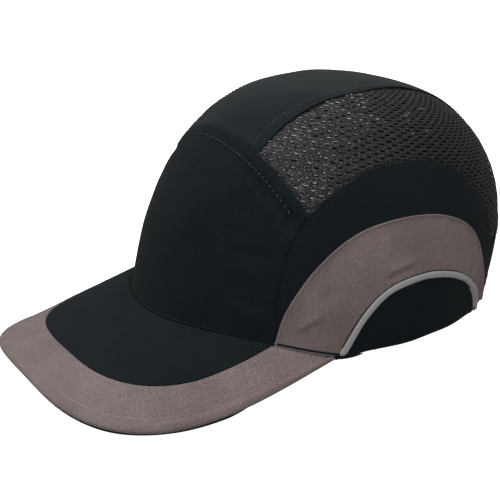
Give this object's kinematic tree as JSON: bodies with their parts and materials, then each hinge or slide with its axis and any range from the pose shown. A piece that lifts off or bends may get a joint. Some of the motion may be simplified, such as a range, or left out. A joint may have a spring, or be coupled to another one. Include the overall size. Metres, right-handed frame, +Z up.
{
  "type": "bump cap",
  "caption": "Peaked bump cap: a sewn cover with mesh sides, contrast inserts and piping over a vented shell with foam pads, with a hook and loop nape strap.",
  "frame": {"origin": "on the surface that the cap stands on, under the middle of its overall box", "axes": "+Z up, -Y towards the tip of the brim, +X towards the wearer's left. The cap rests on the brim's two corners and the nape, so its rim is pitched 4.9 degrees, brow up"},
  "size_m": [0.1844, 0.2956, 0.1288],
  "materials": {
    "black_twill": "matte woven twill",
    "grey_twill": "matte woven twill",
    "reflective_tape": "satin reflective piping",
    "mesh_fabric": "open knitted mesh",
    "shell_plastic": "moulded, satin",
    "pad_foam": "closed-cell foam, matte",
    "towelling": "soft towelling",
    "brim_board": "plain sheet",
    "binding_tape": "narrow woven tape",
    "hook_tape": "hooks",
    "loop_tape": "loops",
    "label_cloth": "plain woven, blank"
  },
  "bodies": {
    "cover": {"front_panel": "black_twill", "crown_strip": "black_twill", "crown_seam_tape_left": "binding_tape", "crown_seam_tape_right": "binding_tape", "mesh_panel_left": "mesh_fabric", "mesh_panel_right": "mesh_fabric", "side_panel_left": "black_twill", "side_panel_right": "black_twill", "side_insert_left": "grey_twill", "side_insert_right": "grey_twill", "piping_left": "reflective_tape", "piping_right": "reflective_tape", "lower_panel_left": "black_twill", "lower_panel_right": "black_twill", "nape_yoke": "black_twill", "nape_binding": "binding_tape", "brim_middle": "black_twill", "brim_edge_band": "grey_twill", "brim_board": "brim_board", "brim_underside": "black_twill", "sweatband": "towelling", "care_label": "label_cloth", "loop_strap": "black_twill", "loop_patch": "loop_tape"},
    "hook_strap": {"hook_strap": "black_twill"},
    "strap_tab": {"strap_tab": "black_twill", "hook_patch": "hook_tape"},
    "liner": {"vented_shell": "shell_plastic", "brow_pad": "pad_foam", "nape_pad": "pad_foam", "side_pad_left": "pad_foam", "side_pad_right": "pad_foam", "crown_pad_middle": "pad_foam", "crown_pad_left": "pad_foam", "crown_pad_right": "pad_foam"}
  },
  "joints": [
    {"name": "strap_adjust", "type": "hinge", "parent": "cover", "child": "hook_strap", "pos_m": [0, 0.06367, 0.00497], "axis": [0, 0.0852, 0.9964], "range_deg": [-12, 12]},
    {"name": "tab_peel", "type": "hinge", "parent": "hook_strap", "child": "strap_tab", "pos_m": [-0.00253, 0.13708, 0.01275], "axis": [-0.0109, 0.391, 0.9203], "range_deg": [0, 60]},
    {"name": "liner_lift_out", "type": "slide", "parent": "cover", "child": "liner", "axis": [0, -0.223, -0.9748], "range_m": [0, 0.15]}
  ]
}
